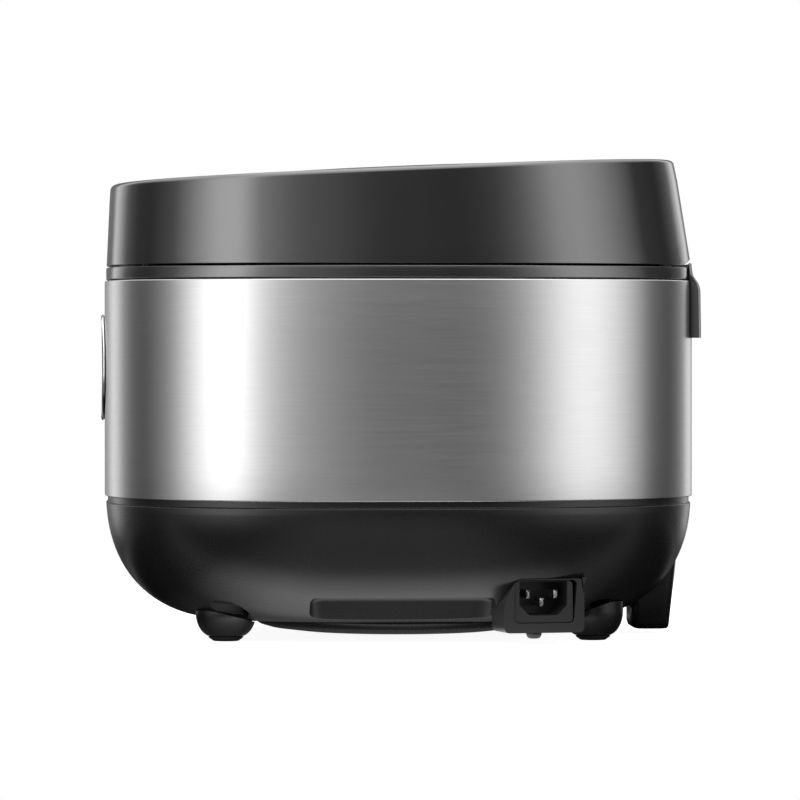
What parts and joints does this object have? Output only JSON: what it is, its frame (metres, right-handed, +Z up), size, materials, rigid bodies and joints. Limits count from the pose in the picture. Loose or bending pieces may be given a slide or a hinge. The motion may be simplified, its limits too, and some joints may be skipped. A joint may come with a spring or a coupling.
{
  "type": "rice cooker",
  "caption": "Electric rice cooker: brushed steel body with rounded sides, dark hinged lid, round front control, lift-out pot, side mains inlet and domed feet.",
  "frame": {"origin": "centre of the bounding box at the bottom, on the surface the feet rest on", "axes": "+Z up, -Y towards the front with the control, +X towards the side with the mains inlet"},
  "size_m": [0.262, 0.3026, 0.2387],
  "materials": {
    "base_plastic": "fine moulded matte",
    "inlet_plastic": "satin moulded",
    "cover_plastic": "satin moulded",
    "inner_plastic": "matte",
    "gloss_plastic": "polished",
    "brushed_band": "brushed round the body",
    "plain_steel": "satin",
    "sheet_aluminium": "satin",
    "cast_aluminium": "machined",
    "pot_coating": "non-stick coating",
    "chrome_trim": "polished",
    "display_lens": "smoked, polished",
    "circuit_board": "solder mask",
    "component": "moulded",
    "lead_rubber": "satin",
    "seal_silicone": "matte",
    "foot_rubber": "matte"
  },
  "bodies": {
    "body": {"base_shell": "base_plastic", "bottom_cover": "base_plastic", "base_screw_1": "plain_steel", "base_screw_2": "plain_steel", "base_screw_3": "plain_steel", "base_screw_4": "plain_steel", "foot_front_left": "base_plastic", "foot_front_right": "base_plastic", "foot_rear_left": "base_plastic", "foot_rear_right": "base_plastic", "pad_front_left": "foot_rubber", "pad_front_right": "foot_rubber", "pad_rear_left": "foot_rubber", "pad_rear_right": "foot_rubber", "rear_leg": "base_plastic", "inlet_housing": "inlet_plastic", "inlet_socket": "inlet_plastic", "inlet_pin_live": "plain_steel", "inlet_pin_neutral": "plain_steel", "inlet_pin_earth": "plain_steel", "inlet_stud": "base_plastic", "steel_band": "brushed_band", "upper_ring": "gloss_plastic", "hinge_cover": "cover_plastic", "hinge_bracket": "plain_steel", "hinge_pin": "plain_steel", "hinge_spring": "plain_steel", "heat_shield": "sheet_aluminium", "heating_plate": "cast_aluminium", "heater_element": "plain_steel", "sensor_cup": "plain_steel", "control_bezel": "chrome_trim", "control_face": "gloss_plastic", "display_window": "display_lens", "control_housing": "inner_plastic", "control_board": "circuit_board", "power_board": "circuit_board", "transformer": "component", "relay": "component", "mains_lead": "lead_rubber"},
    "lid": {"lid_shell": "gloss_plastic", "lid_top_panel": "gloss_plastic", "lid_liner": "inner_plastic", "inner_lid": "sheet_aluminium", "lid_gasket": "seal_silicone", "hinge_plate": "plain_steel", "steam_cup": "inner_plastic", "button_shelf": "inner_plastic", "latch_pin": "plain_steel"},
    "pot": {"inner_pot": "pot_coating"},
    "sensor": {"sensor_cap": "sheet_aluminium", "sensor_spring": "plain_steel"},
    "steam_cap": {"steam_cap": "gloss_plastic"},
    "release_button": {"release_button": "gloss_plastic", "button_spring": "plain_steel"},
    "latch": {"latch_lever": "plain_steel"},
    "start_button": {"start_button": "plain_steel"},
    "menu_button": {"menu_button": "plain_steel"},
    "cancel_button": {"cancel_button": "plain_steel"}
  },
  "joints": [
    {"name": "lid_hinge", "type": "hinge", "parent": "body", "child": "lid", "pos_m": [0, 0.14, 0.177], "axis": [-1, 0, 0], "range_deg": [0, 80]},
    {"name": "pot_lift", "type": "slide", "parent": "body", "child": "pot", "axis": [0, 0, 1], "range_m": [0, 0.0015]},
    {"name": "sensor_plunge", "type": "slide", "parent": "body", "child": "sensor", "axis": [0, 0, -1], "range_m": [0, 0.0025], "stiffness_N_per_m": 600, "springref_m": -0.001, "deforming": ["sensor_spring"]},
    {"name": "steam_cap_lift", "type": "slide", "parent": "lid", "child": "steam_cap", "axis": [0, 0, 1], "range_m": [0, 0.04]},
    {"name": "release_press", "type": "slide", "parent": "lid", "child": "release_button", "axis": [0, 0, -1], "range_m": [0, 0.0025], "stiffness_N_per_m": 500, "springref_m": -0.002, "deforming": ["button_spring"]},
    {"name": "latch_turn", "type": "hinge", "parent": "lid", "child": "latch", "pos_m": [0, -0.119, 0.203], "axis": [1, 0, 0], "range_deg": [0, 10.2]},
    {"name": "start_press", "type": "slide", "parent": "body", "child": "start_button", "axis": [0, 1, 0], "range_m": [0, 0.0008], "stiffness_N_per_m": 600, "springref_m": -0.0004},
    {"name": "menu_press", "type": "slide", "parent": "body", "child": "menu_button", "axis": [0, 1, 0], "range_m": [0, 0.0008], "stiffness_N_per_m": 600, "springref_m": -0.0004},
    {"name": "cancel_press", "type": "slide", "parent": "body", "child": "cancel_button", "axis": [0, 1, 0], "range_m": [0, 0.0008], "stiffness_N_per_m": 600, "springref_m": -0.0004}
  ],
  "couplings": [
    {"joint": "latch_turn", "follows": "release_press", "rad_per_m": 70}
  ]
}
